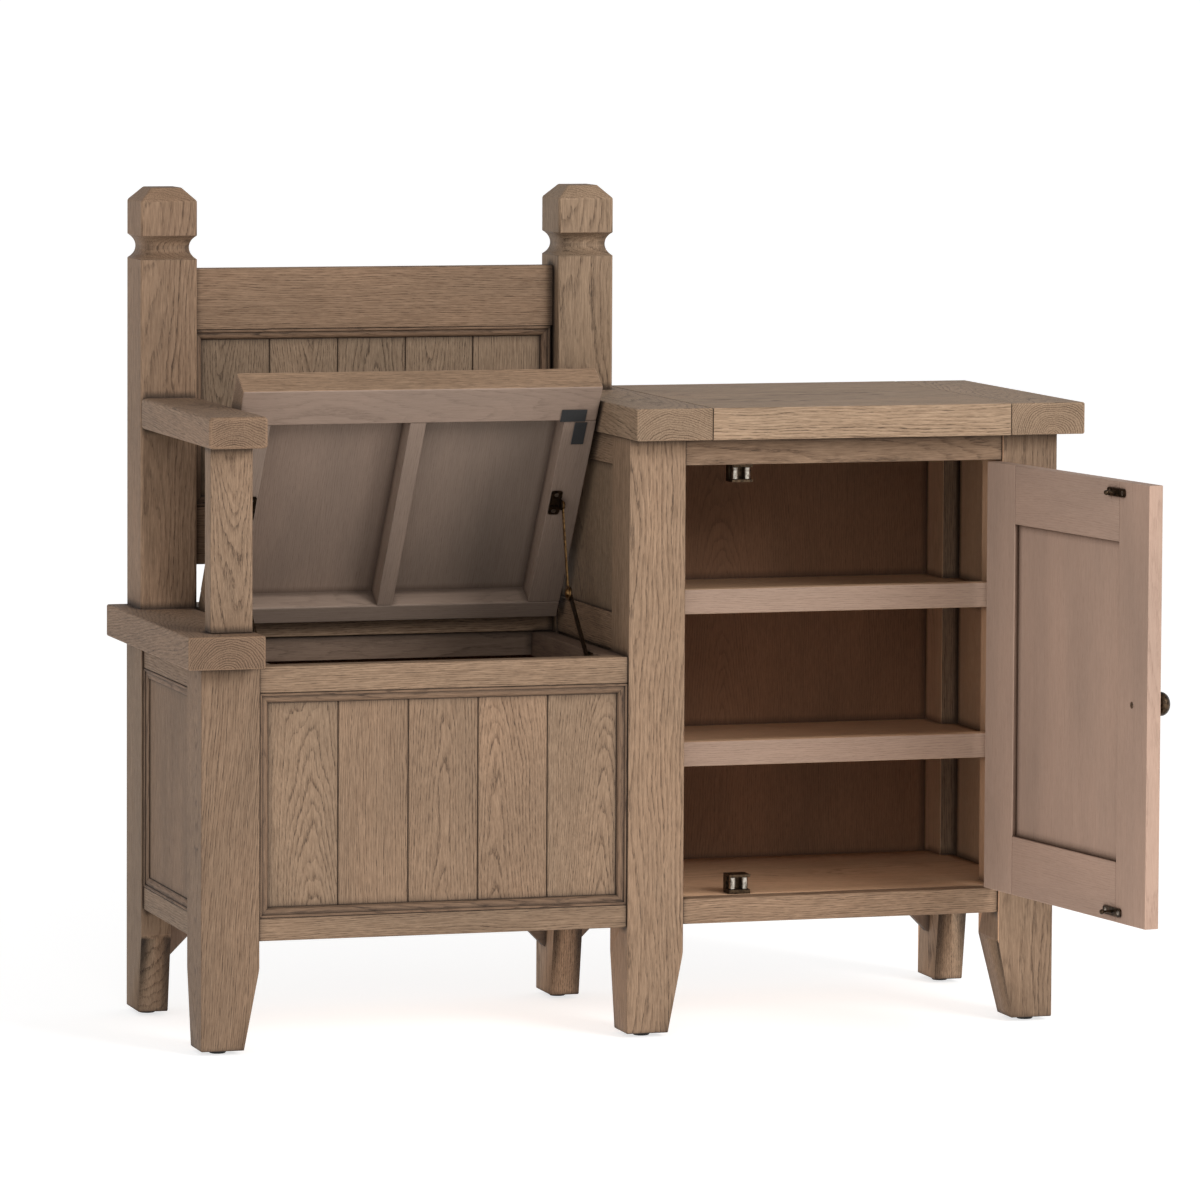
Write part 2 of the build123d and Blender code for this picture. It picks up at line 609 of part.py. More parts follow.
def cupboard_frame():
    front_x = (MIDDLE_LEG_RIGHT, RIGHT_LEG_LEFT)
    rear_x = (DIVIDE + BACK_LEG[0], CASE_RIGHT - BACK_LEG[0])
    side_y = (FRONT_LEG, BACK_LEG_FRONT)
    top_z = (CUPBOARD_REAR_RAIL_UNDER, CUPBOARD_UNDER)
    middle_z = (SEAT_UNDER, DIVIDER_RAIL_TOP)
    front_top_z = (CUPBOARD_RAIL_UNDER, CUPBOARD_UNDER)
    pieces = [
        ("cupboard_front_rails", RAIL, rail(front_x, CUPBOARD_RAIL_Y, front_top_z, "x")),
        ("cupboard_front_rails", RAIL, rail(front_x, RAIL_IN, CUPBOARD_BOTTOM_RAIL, "x")),
        ("rear_rails", RAIL, rail(rear_x, REAR_RAIL_Y, top_z, "x")),
        ("rear_rails", RAIL, rail(rear_x, REAR_RAIL_Y, BOTTOM_RAIL, "x")),
    ]
    divider_rails = [rail(DIVIDER_X, side_y, z, "y") for z in (top_z, middle_z, BOTTOM_RAIL)]
    right_rails = [rail(RIGHT_SIDE_X, side_y, z, "y") for z in (top_z, BOTTOM_RAIL)]
    pieces += [("cupboard_side_rails", RAIL, one) for one in divider_rails + right_rails]
    panels = (
        (LEFT_PANEL_X, (middle_z[1], top_z[0])),
        (LEFT_PANEL_X, (BOTTOM_RAIL[1], middle_z[0])),
        (RIGHT_PANEL_X, (BOTTOM_RAIL[1], top_z[0])),
    )
    for x, z in panels:
        panel = board(x, grown(side_y, GROOVE), grown(z, GROOVE))
        pieces.append(("cupboard_side_panels", PANEL, panel))
    back = box(grown(rear_x, GROOVE), BACK_PANEL_Y, (BOTTOM_RAIL[0], CUPBOARD_UNDER))
    pieces.append(("back_panels", PANEL, back))
    floor_x = (DIVIDER_X[1] - FLOOR_HOUSING, RIGHT_SIDE_X[0] + FLOOR_HOUSING)
    floor_y = (RAIL_IN[1], REAR_RAIL_Y[0] + FLOOR_HOUSING)
    floor = box(floor_x, floor_y, (CUPBOARD_FLOOR_TOP - FLOOR_THICKNESS, CUPBOARD_FLOOR_TOP))
    pieces.append(("floor_boards", FLOOR, clear_of_legs(floor)))
    return pieces


def shelves():
    """Two thin shelves with a thicker front lip, on battens at their ends."""
    lip_x = grown((MIDDLE_LEG_RIGHT, RIGHT_LEG_LEFT), -SHELF_END_GAP)
    board_x = grown((LEFT_PANEL_X[1], RIGHT_PANEL_X[0]), -SHELF_SIDE_GAP)
    lip_y = (SHELF_LIP_FRONT, SHELF_LIP_FRONT + SHELF_LIP[0])
    batten_y = grown((FRONT_LEG, BACK_LEG_FRONT), -BATTEN_END_GAP)
    pieces = []
    for node, bottom in SHELF_BOTTOMS.items():
        lip = soft_board(lip_x, lip_y, (bottom, bottom + SHELF_LIP[1]), SHELF_LIP_ROUNDING)
        sheet = box(board_x, (lip_y[1], BACK_PANEL_Y[0]), (bottom, bottom + SHELF_THICKNESS))
        pieces.append((node, INNER_RAIL, lip))
        pieces.append((node, INNER_RAIL, clear_of_legs(sheet)))
        batten_z = (bottom - BATTEN, bottom)
        right = board((RIGHT_PANEL_X[0] - BATTEN, RIGHT_PANEL_X[0]), batten_y, batten_z)
        pieces.append(("shelf_battens", INNER_RAIL, right))
        if node == "lower_shelf":
            left = board((LEFT_PANEL_X[1], LEFT_PANEL_X[1] + BATTEN), batten_y, batten_z)
            pieces.append(("shelf_battens", INNER_RAIL, left))
    return pieces


# ---------------------------------------------------------------- roller catches

def catch_body(outer, inward):
    """One catch housing, screwed on at the outer level; inward is +1 if it stands up from there."""
    near, far = CATCH_PLATES
    depths = (0.0, near, CATCH_HEIGHT - far, CATCH_HEIGHT)
    levels = [outer + inward * depth for depth in depths]
    x = (CATCH_X - CATCH_HALF_WIDTH, CATCH_X + CATCH_HALF_WIDTH)
    body = box(x, (CATCH_Y[1] - CATCH_BACK, CATCH_Y[1]), sorted((levels[0], levels[3])))
    for pair in (levels[0:2], levels[2:4]):
        body = body + box(x, CATCH_Y, sorted(pair))
    slot_width = 2 * (ROLLER_PIN + PIN_PLAY)
    middle = ROLLER_OFFSET + ROLLER_TRAVEL / 2
    for side in (-1, 1):
        slot = Pos(CATCH_X + side * middle, ROLLER_Y, levels[1])
        hole = slot * Box(ROLLER_TRAVEL + slot_width, slot_width, 2 * SLOT_DEPTH)
        body = body - hole - Pos(0, 0, levels[2] - levels[1]) * hole
    return body


def rollers(side):
    """The two rollers on one side of the catches, each with its pin in the housing's slots."""
    near, far = CATCH_PLATES
    height = CATCH_HEIGHT - near - far
    made = []
    for outer, inward in ((CUPBOARD_RAIL_UNDER, -1), (CUPBOARD_FLOOR_TOP, 1)):
        level = outer + inward * (near + height / 2)
        place = Pos(CATCH_X + side * ROLLER_OFFSET, ROLLER_Y, level)
        roller = Cylinder(ROLLER_RADIUS, height - 2 * STAY_SPACE)
        pin = Cylinder(ROLLER_PIN, height + 2 * ROLLER_PIN_REACH)
        made.append(place * (chamfer(roller.edges(), ROLLER_EASE) + pin))
    return made


def strike(level):
    """A strike plate on the door's inner face with a stem and a round head."""
    wide, thick, tall = STRIKE_PLATE
    face = DOOR_Y[1]
    plate = Pos(CATCH_X, face + thick / 2, level) * Box(wide, thick, tall)
    plate = fillet(plate.edges().filter_by(Axis.Y), STRIKE_ROUNDING)
    stem = Rot(90, 0, 0) * Cylinder(STRIKE_STEM_RADIUS, STRIKE_DEPTH)
    stem = Pos(CATCH_X, face + STRIKE_DEPTH / 2, level) * stem
    head = Pos(CATCH_X, face + STRIKE_DEPTH, level) * Sphere(STRIKE_RADIUS)
    return plate + stem + head


def strike_levels():
    return (CUPBOARD_RAIL_UNDER - STRIKE_LEVEL, CUPBOARD_FLOOR_TOP + STRIKE_LEVEL)


def catches():
    pieces = []
    for outer, inward in ((CUPBOARD_RAIL_UNDER, -1), (CUPBOARD_FLOOR_TOP, 1)):
        pieces.append(("catch_bodies", METAL, catch_body(outer, inward)))
        start = outer + inward * CATCH_PLATES[0]
        for side in (-1, 1):
            at = (CATCH_X + side * CATCH_SCREW_OFFSET[0], CATCH_Y[1] - CATCH_SCREW_OFFSET[1], start)
            pieces.append(("carcass_screws", SCREW, screw(at, (0, 0, -inward), *CATCH_SCREW)))
    return pieces


# ---------------------------------------------------------------- lid

def turned(point, degrees):
    """A (y, z) point turned about the lid's pivot, positive from +y towards +z."""
    y = point[0] - LID_PIVOT[0]
    z = point[1] - LID_PIVOT[1]
    c = math.cos(math.radians(degrees))
    s = math.sin(math.radians(degrees))
    return (LID_PIVOT[0] + y * c - z * s, LID_PIVOT[1] + y * s + z * c)


def lid():
    y = (LID_FRONT, LID_BACK)
    z = (SEAT_UNDER, SEAT_TOP)
    inner_x = grown(LID_X, -LID_STILE)
    inner_y = (y[0] + LID_FRONT_RAIL, y[1] - LID_REAR_RAIL)
    middle = sum(LID_X) / 2
    muntin_x = (middle - LID_MUNTIN / 2, middle + LID_MUNTIN / 2)
    pieces = [
        ("lid_rails", LEG, soft_board(LID_X, (y[0], inner_y[0]), z, LID_ROUNDING)),
        ("lid_rails", LEG, soft_board(LID_X, (inner_y[1], y[1]), z, LID_ROUNDING)),
        ("lid_stiles", RAIL, rail((LID_X[0], inner_x[0]), inner_y, z, "y")),
        ("lid_stiles", RAIL, rail((inner_x[1], LID_X[1]), inner_y, z, "y")),
    ]
    muntin = rail(muntin_x, inner_y, z, "y")
    pieces.append(("lid_muntin", INNER_RAIL, muntin))
    panel_z = (SEAT_TOP - LID_PANEL, SEAT_TOP)
    for x in ((inner_x[0], muntin_x[0]), (muntin_x[1], inner_x[1])):
        panel = box(grown(x, GROOVE), grown(inner_y, GROOVE), panel_z)
        pieces.append(("lid_panels", PANEL, panel))
    felt_z = (SEAT_UNDER - FELT_THICKNESS, SEAT_UNDER)
    pieces.append(("lid_felt_pads", METAL, box(LONG_FELT_X, LONG_FELT_Y, felt_z)))
    pieces.append(("lid_felt_pads", METAL, box(TALL_FELT_X, TALL_FELT_Y, felt_z)))
    return pieces


# ---------------------------------------------------------------- lid stays, on the right

def stay_levels():
    """The x limits of the right-hand stay's layers, from the support rail inwards."""
    face = LID_REST_INNER[1]
    foot = (face - STAY_PLATE, face)
    lower = (foot[0] - STAY_SPACE - LOWER_ARM_THICKNESS, foot[0] - STAY_SPACE)
    upper = (lower[0] - STAY_SPACE - UPPER_ARM_THICKNESS, lower[0] - STAY_SPACE)
    ear = (upper[0] - STAY_SPACE - STAY_PLATE, upper[0] - STAY_SPACE)
    return foot, lower, upper, ear


def disc(point, x, radius):
    """A disc or stud about an x-axis line through a (y, z) point."""
    return Pos(sum(x) / 2, *point) * Rot(0, 90, 0) * Cylinder(radius, x[1] - x[0])


def arm(start, end, x, width, start_eye, end_eye, hole):
    """A flat arm between two (y, z) pivots with an eye at each and a hole at the first."""
    run = (end[0] - start[0], end[1] - start[1])
    length = math.hypot(*run)
    place = Plane(origin=(x[0], *start), x_dir=(0, *run), z_dir=(1, 0, 0))
    thickness = x[1] - x[0]
    bar = Pos(length / 2, 0, thickness / 2) * Box(length, width, thickness)
    bar = bar + Pos(0, 0, thickness / 2) * Cylinder(start_eye, thickness)
    bar = bar + Pos(length, 0, thickness / 2) * Cylinder(end_eye, thickness)
    bar = bar - Cylinder(hole, 4 * thickness)
    return place * bar


def stay_foot():
    foot, lower, _, _ = stay_levels()
    y, z = STAY_FOOT
    wide, tall = STAY_FOOT_PLATE
    plate = box(foot, grown((y, y), wide / 2), grown((z, z), tall / 2))
    plate = fillet(plate.edges().filter_by(Axis.X), STAY_FOOT_ROUNDING)
    under_head = lower[0] - STAY_SPACE
    stud = disc(STAY_FOOT, (under_head, foot[0]), STUD_RADIUS)
    head = disc(STAY_FOOT, (under_head - STUD_HEAD[1], under_head), STUD_HEAD[0])
    screws = [((foot[0], y + side * STAY_FOOT_SCREWS, z), (1, 0, 0)) for side in (-1, 1)]
    return plate + stud + head, screws


def stay_ear():
    """The bracket on the lid's underside, in its closed place."""
    _, _, upper, ear = stay_levels()
    y, z = STAY_ON_LID
    reach, tall = STAY_EAR_PLATE
    face = SEAT_UNDER - STAY_PLATE
    plate = box((ear[0] - reach, ear[1]), grown((y, y), tall / 2), (face, SEAT_UNDER))
    plate = fillet(plate.edges().filter_by(Axis.Z), STAY_EAR_ROUNDING)
    web = box(ear, grown((y, y), STAY_EAR_RADIUS), (z, SEAT_UNDER))
    eye = disc(STAY_ON_LID, ear, STAY_EAR_RADIUS)
    under_head = upper[1] + STAY_SPACE
    stud = disc(STAY_ON_LID, (ear[1], under_head), STUD_RADIUS)
    head = disc(STAY_ON_LID, (under_head, under_head + STUD_HEAD[1]), STUD_HEAD[0])
    inset, spread = STAY_EAR_SCREWS
    screws = [((ear[0] - inset, y + side * spread, face), (0, 0, 1)) for side in (-1, 1)]
    return plate + web + eye + stud + head, screws


def stay_arms():
    """The lower and upper arm in their open place."""
    _, lower_x, upper_x, _ = stay_levels()
    on_lid = turned(STAY_ON_LID, -LID_OPEN)
    hole = STUD_RADIUS + STUD_CLEARANCE
    lower = arm(STAY_FOOT, STAY_ELBOW, lower_x, *LOWER_ARM, hole)
    upper = arm(on_lid, STAY_ELBOW, upper_x, *UPPER_ARM, hole)
    half_width, rise = ELBOW_DOME
    radius = (half_width ** 2 + rise ** 2) / (2 * rise)
    ball = Pos(upper_x[0] + radius - rise, *STAY_ELBOW) * Sphere(radius)
    dome = ball & disc(STAY_ELBOW, (upper_x[0] - 2 * rise, upper_x[0]), ELBOW_DOME_LIMIT)
    return lower, upper + dome


def on_both_sides(solid):
    """The right-hand piece and its mirror image on the left."""
    middle = sum(LID_REST_INNER) / 2
    return solid, mirror(solid, about=Plane.YZ.offset(middle))


def stays():
    """Carcass pieces, lid pieces and the four arms of the two stays."""
    foot, foot_screws = stay_foot()
    ear, ear_screws = stay_ear()
    lower, upper = stay_arms()
    fixed = [("stay_box_brackets", METAL, one) for one in on_both_sides(foot)]
    moving = [("stay_lid_brackets", METAL, one) for one in on_both_sides(ear)]
    for at, direction in foot_screws:
        fixed += [("carcass_screws", SCREW, one) for one in on_both_sides(screw(at, direction))]
    for at, direction in ear_screws:
        moving += [("lid_screws", SCREW, one) for one in on_both_sides(screw(at, direction))]
    arms = {}
    for part_name, solid in (("lower_arm", lower), ("upper_arm", upper)):
        right, left = on_both_sides(solid)
        arms["right_stay_" + part_name] = [right]
        arms["left_stay_" + part_name] = [left]
    return fixed, moving, arms


def stay_angles():
    """How far the lower arm turns about +x while the lid closes, and the upper arm against the lid."""
    on_lid_open = turned(STAY_ON_LID, -LID_OPEN)
    lower_length = math.dist(STAY_FOOT, STAY_ELBOW)
    upper_length = math.dist(on_lid_open, STAY_ELBOW)
    span = math.dist(STAY_FOOT, STAY_ON_LID)
    bearing = math.atan2(STAY_ON_LID[1] - STAY_FOOT[1], STAY_ON_LID[0] - STAY_FOOT[0])
    cosine = (lower_length ** 2 + span ** 2 - upper_length ** 2) / (2 * lower_length * span)
    lower_closed = bearing - math.acos(cosine)
    elbow = (
        STAY_FOOT[0] + lower_length * math.cos(lower_closed),
        STAY_FOOT[1] + lower_length * math.sin(lower_closed),
    )
    lower_open = math.atan2(STAY_ELBOW[1] - STAY_FOOT[1], STAY_ELBOW[0] - STAY_FOOT[0])
    upper_open = math.atan2(STAY_ELBOW[1] - on_lid_open[1], STAY_ELBOW[0] - on_lid_open[0])
    upper_closed = math.atan2(elbow[1] - STAY_ON_LID[1], elbow[0] - STAY_ON_LID[0])
    lower_turn = math.degrees(lower_closed - lower_open)
    upper_turn = math.degrees(upper_closed - upper_open) - LID_OPEN
    return lower_turn, upper_turn


# ---------------------------------------------------------------- door

def knob():
    """A turned knob on a small rose, standing off the door's outer face."""
    rose_bend = (6.6, 4.4)
    cheek_bend = (13.2, 17.2)
    face_bend = (11.5, 26.0)
    outline = [
        Line((0, 0), (KNOB_ROSE[0], 0)),
        Line((KNOB_ROSE[0], 0), KNOB_ROSE),
        ThreePointArc(KNOB_ROSE, rose_bend, KNOB_NECK),
        Line(KNOB_NECK, KNOB_THROAT),
        ThreePointArc(KNOB_THROAT, cheek_bend, KNOB_WIDEST),
        ThreePointArc(KNOB_WIDEST, face_bend, KNOB_TIP),
        Line(KNOB_TIP, (0, KNOB_TIP[1])),
        Line((0, KNOB_TIP[1]), (0, 0)),
    ]
    body = revolve(Plane.XZ * make_face(outline), Axis.Z)
    return Plane(origin=(KNOB[0], DOOR_Y[0], KNOB[1]), z_dir=(0, -1, 0)) * body


def door():
    x = (DOOR_LEFT, DOOR_RIGHT)
    inner_x = grown(x, -DOOR_STILE)
    inner_z = grown(DOOR_Z, -DOOR_STILE)
    pieces = [
        ("door_stiles", LEG, soft_board((x[0], inner_x[0]), DOOR_Y, DOOR_Z, EASE)),
        ("door_stiles", LEG, soft_board((inner_x[1], x[1]), DOOR_Y, DOOR_Z, EASE)),
        ("door_rails", RAIL, rail(inner_x, DOOR_Y, (DOOR_Z[0], inner_z[0]), "x")),
        ("door_rails", RAIL, rail(inner_x, DOOR_Y, (inner_z[1], DOOR_Z[1]), "x")),
        ("door_panel", PANEL, box(grown(inner_x, GROOVE), DOOR_PANEL_Y, grown(inner_z, GROOVE))),
        ("door_knob", METAL, knob()),
        ("door_screws", SCREW, screw((KNOB[0], DOOR_Y[1], KNOB[1]), (0, -1, 0), *KNOB_SCREW)),
    ]
    for level in strike_levels():
        pieces.append(("catch_strikes", METAL, strike(level)))
        for side in (-1, 1):
            at = (CATCH_X + side * STRIKE_SCREW_OFFSET, DOOR_Y[1] + STRIKE_PLATE[1], level)
            pieces.append(("door_screws", SCREW, screw(at, (0, -1, 0))))
    return pieces


# ---------------------------------------------------------------- the whole part

def opened(nodes, axis, degrees):
    """The nodes turned from their closed place."""
    turned_nodes = {}
    for node, solids in nodes.items():
        turned_nodes[node] = [solid.rotate(axis, degrees) for solid in solids]
    return turned_nodes


def all_nodes():
    """Every node's solids in the design frame, with the lid and the door standing open."""
    lid_places, door_places = hinge_places()
    lid_fixed, lid_moving = fitted_hinges(lid_places, "lid_hinge_leaves", "lid_screws")
    door_fixed, door_moving = fitted_hinges(door_places, "door_hinge_leaves", "door_screws")
    stay_fixed, stay_moving, arms = stays()
    carcass = legs() + bench_frame() + corner_blocks() + seat() + backrest()
    carcass += cupboard_top() + cupboard_frame() + shelves() + catches()
    nodes = let_in(carcass + lid_fixed + door_fixed + stay_fixed)
    lid_axis = Axis((0, *LID_PIVOT), (1, 0, 0))
    door_axis = Axis((*DOOR_PIVOT, 0), (0, 0, 1))
    nodes.update(opened(let_in(lid() + lid_moving + stay_moving), lid_axis, -LID_OPEN))
    nodes.update(opened(let_in(door() + door_moving), door_axis, DOOR_OPEN))
    nodes.update(arms)
    nodes["catch_left_rollers"] = rollers(-1)
    nodes["catch_right_rollers"] = rollers(1)
    return nodes


def middle_of(nodes):
    """The middle of the box round every solid, as (x, y)."""
    boxes = [solid.bounding_box() for solids in nodes.values() for solid in solids]
    x = [limit for one in boxes for limit in (one.min.X, one.max.X)]
    y = [limit for one in boxes for limit in (one.min.Y, one.max.Y)]
    return ((min(x) + max(x)) / 2, (min(y) + max(y)) / 2)


NODES = all_nodes()
ORIGIN = middle_of(NODES)

os.makedirs("parts", exist_ok=True)
for name, solids in NODES.items():
    moved = [Pos(-ORIGIN[0], -ORIGIN[1], 0) * solid for solid in solids]
    export_step(Compound(children=moved), os.path.join("parts", name + ".step"))
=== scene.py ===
import json
import math
import random

import bmesh
import bpy
from mathutils import Matrix, Vector

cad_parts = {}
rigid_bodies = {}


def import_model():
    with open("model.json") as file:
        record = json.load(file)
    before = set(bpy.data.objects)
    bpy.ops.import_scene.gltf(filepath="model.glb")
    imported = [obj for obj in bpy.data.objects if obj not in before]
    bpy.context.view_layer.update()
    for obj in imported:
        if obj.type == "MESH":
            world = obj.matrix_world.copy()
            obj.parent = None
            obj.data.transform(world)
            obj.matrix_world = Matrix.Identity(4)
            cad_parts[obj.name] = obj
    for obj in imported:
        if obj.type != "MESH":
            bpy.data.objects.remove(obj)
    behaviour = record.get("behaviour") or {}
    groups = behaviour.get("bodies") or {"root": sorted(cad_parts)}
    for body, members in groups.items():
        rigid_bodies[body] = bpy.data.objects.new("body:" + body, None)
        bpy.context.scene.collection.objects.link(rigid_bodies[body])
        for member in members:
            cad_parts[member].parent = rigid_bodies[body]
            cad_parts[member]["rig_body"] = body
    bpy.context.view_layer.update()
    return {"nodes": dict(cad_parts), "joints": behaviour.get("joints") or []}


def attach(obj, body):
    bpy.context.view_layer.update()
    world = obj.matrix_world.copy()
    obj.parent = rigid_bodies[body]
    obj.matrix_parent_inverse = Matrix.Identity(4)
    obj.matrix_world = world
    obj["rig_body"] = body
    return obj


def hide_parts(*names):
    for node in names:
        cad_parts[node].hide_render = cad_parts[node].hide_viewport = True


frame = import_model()

# An oak hall bench joined to a cupboard. Every length is in metres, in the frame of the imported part.
SEED = 11

# Corners of the CAD meshes closer than this are one corner.
WELD_DISTANCE = 2e-6

# Where the lid and the door turn, from the record's joints, so that their boards can be read as if closed.
JOINTS = {joint["name"]: joint for joint in frame["joints"]}
LID_REST_ANGLE = math.radians(JOINTS["lid_hinge"]["range_deg"][1])
DOOR_REST_ANGLE = math.radians(JOINTS["door_hinge"]["range_deg"][0])


# ---------------------------------------------------------------- reading the frame

def closed_turn(body):
    """The rotation that takes a board of this body from its rest place to its closed one."""
    if body == "lid":
        return Matrix.Rotation(LID_REST_ANGLE, 3, "X")
    if body == "door":
        return Matrix.Rotation(DOOR_REST_ANGLE, 3, "Z")
    return Matrix.Identity(3)


def islands(mesh):
    """The groups of connected faces of a bmesh, in the order of their lowest face."""
    seen = set()
    groups = []
    for start in mesh.faces:
        if start in seen:
            continue
        seen.add(start)
        group = [start]
        stack = [start]
        while stack:
            face = stack.pop()
            for edge in face.edges:
                for other in edge.link_faces:
                    if other not in seen:
                        seen.add(other)
                        group.append(other)
                        stack.append(other)
        groups.append(group)
    return groups


def welded_mesh(node):
    """A copy of a CAD node's mesh with its coinciding corners joined."""
    mesh = bmesh.new()
    mesh.from_mesh(frame["nodes"][node].data)
    bmesh.ops.remove_doubles(mesh, verts=mesh.verts, dist=WELD_DISTANCE)
    return mesh


def finish_piece(mesh, name, node, material):
    """Turns a bmesh into the piece that stands for a node, on the node's body, with soft edges."""
    data = bpy.data.meshes.new(name)
    mesh.to_mesh(data)
    mesh.free()
    data.materials.append(material)
    data.shade_smooth()
    piece = bpy.data.objects.new(name, data)
    bpy.context.scene.collection.objects.link(piece)
    weighted = piece.modifiers.new("soft_edges", "WEIGHTED_NORMAL")
    weighted.keep_sharp = True
    weighted.weight = 100
    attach(piece, frame["nodes"][node]["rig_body"])
    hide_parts(node)


# ---------------------------------------------------------------- boards

# How each board was cut from its log: f flat-sawn with arches, r rift-sawn with straight lines, p plain.
# One letter for each board of the node, from left to right and then upwards; the last letter repeats.
CUTS = {
    "front_left_leg": "f", "front_middle_leg": "r", "front_right_leg": "r", "arm_post": "f", "armrest": "f",
    "bench_front_boards": "frfff", "backrest_boards": "ffffr", "bench_side_panel": "r",
    "back_left_leg": "r", "left_back_post": "r", "right_back_post": "r", "seat_left_board": "f",
    "cupboard_top_centre": "p", "cupboard_top_ends": "f", "bench_front_rails": "r", "backrest_rails": "r",
    "cupboard_front_rails": "r", "bench_side_rails": "r", "cupboard_side_rails": "r", "lid_rails": "p",
    "door_rails": "r", "door_stiles": "r", "lid_stiles": "r", "upper_shelf": "r", "lower_shelf": "r",
    "cupboard_side_panels": "f", "back_panels": "f", "door_panel": "r", "lid_panels": "r",
}

# How light each board is, in the same order: partly its own tone and partly painted shade and light,
# with the boards on the left and the front right leg under the door darker and the cupboard's top lighter.
# Boards that aren't named vary a little.
LIGHTNESS_WITH_PAINTED_SHADE = {
    "front_left_leg": [0.79], "front_middle_leg": [1.02], "front_right_leg": [0.79], "arm_post": [0.95],
    "armrest": [0.88], "seat_left_board": [0.78], "left_back_post": [0.84], "right_back_post": [0.98],
    "bench_side_panel": [0.72], "bench_front_boards": [0.92, 0.90, 0.93, 0.95, 0.95],
    "backrest_boards": [0.84, 0.88, 0.90, 0.92, 0.90], "backrest_rails": [0.88, 0.90],
    "bench_front_rails": [0.86, 0.93], "cupboard_front_rails": [0.98, 0.80], "back_left_leg": [0.75],
    "cupboard_top_centre": [1.21], "cupboard_top_ends": [1.05, 1.13], "bench_side_rails": [0.78, 0.78],
    "lid_panels": [0.93, 0.79], "lid_rails": [1.04, 0.86], "door_rails": [0.88], "door_stiles": [0.91, 0.93],
    "cupboard_side_panels": [1.05, 0.95],
}
USUAL_LIGHTNESS = (0.9, 1.0)

# Boards of a pinker tone, and of a greyer one; the rest vary between the two.
WARM = {"backrest_rails", "left_back_post", "armrest", "seat_left_board", "bench_side_panel"}
COOL = {
    "cupboard_top_centre", "cupboard_top_ends", "right_back_post", "cupboard_side_panels", "backrest_boards",
}
WARM_LEVEL = 0.95
COOL_LEVEL = -0.2
USUAL_WARMTH = (0.15, 0.75)

# Which way the outer faces of a piece point when it is closed. Its other faces take the inner colours:
# a smoother finish on the lid and the door, a lighter oak of painted light on the shelves, and a more
# orange oak inside the back panels.
OUTWARD = {
    "lid": ("z", 1), "door": ("y", -1),
    "upper_shelf": ("y", -1), "lower_shelf": ("y", -1), "back_panels": ("y", 1),
}

# The cupboard's sides take a much lighter oak, painted light, on their faces towards its middle, above
# its floor.
CUPBOARD_SIDES = ("cupboard_side_panels", "back_right_leg", "cupboard_side_rails", "front_right_leg")
CUPBOARD_MIDDLE = 0.30
CUPBOARD_FLOOR = 0.18

# An edge of the lid's frame this far out from the lid's middle is on its rim.
LID_RIM_REACH = 0.15

# The inner edges of the lid's frame are made lighter, this many times as much as an arris.
LID_INNER_EDGE = 3.5

# How squarely a face has to point along an axis to count as facing it, as a board's end, and as flat.
FACING = 0.5
END_FACING = 0.9
FLAT_FACING = 0.995


def closed_middle(node):
    """The middle of a node's box, turned as if its body were closed."""
    source = frame["nodes"][node]
    points = [closed_turn(source["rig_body"]) @ vert.co for vert in source.data.vertices]
    return Vector([(min(p[i] for p in points) + max(p[i] for p in points)) / 2 for i in range(3)])


LID_MIDDLE = closed_middle("lid_rails")


def is_outer(node, body, normal, centre):
    """Whether a face, turned as if closed, is on the outer side of its piece."""
    if node in CUPBOARD_SIDES:
        return centre[2] < CUPBOARD_FLOOR or normal[0] * (centre[0] - CUPBOARD_MIDDLE) > -0.1
    if node not in OUTWARD and body not in OUTWARD:
        return True
    axis, sign = OUTWARD.get(node) or OUTWARD[body]
    facing = normal["xyz".index(axis)] * sign
    if body == "lid" and abs(facing) < FACING:
        return normal.dot(centre - LID_MIDDLE) > LID_RIM_REACH
    return facing > FACING


# Boards start somewhere along a long imaginary log, so that no two share the same grain.
LOG_LENGTH = 40

# Metal edges sharper than this stay crisp.
CREASE_ANGLE = math.radians(30)


def axes_by_length(points):
    """The indices of x, y and z, from the one the points spread over most to the least, and the spreads."""
    spread = [max(point[i] for point in points) - min(point[i] for point in points) for i in range(3)]
    return sorted(range(3), key=lambda i: -spread[i]), spread


def pith_place(cut, width, dice):
    """Where the log's heart lies from a board's low corner, across and in depth, and its slope in each."""
    side = dice.choice((-1, 1))
    if cut == "f":
        place = (width * dice.uniform(0.3, 0.7), -dice.uniform(0.018, 0.04))
        return place + (dice.uniform(-0.03, 0.03), side * dice.uniform(0.05, 0.1))
    if cut == "r":
        place = (-dice.uniform(0.07, 0.14), dice.uniform(-0.02, 0.02))
        return place + (dice.uniform(-0.02, 0.02), dice.uniform(-0.02, 0.02))
    return (width / 2, -dice.uniform(0.12, 0.2), 0.01 * side, dice.uniform(-0.03, 0.03))


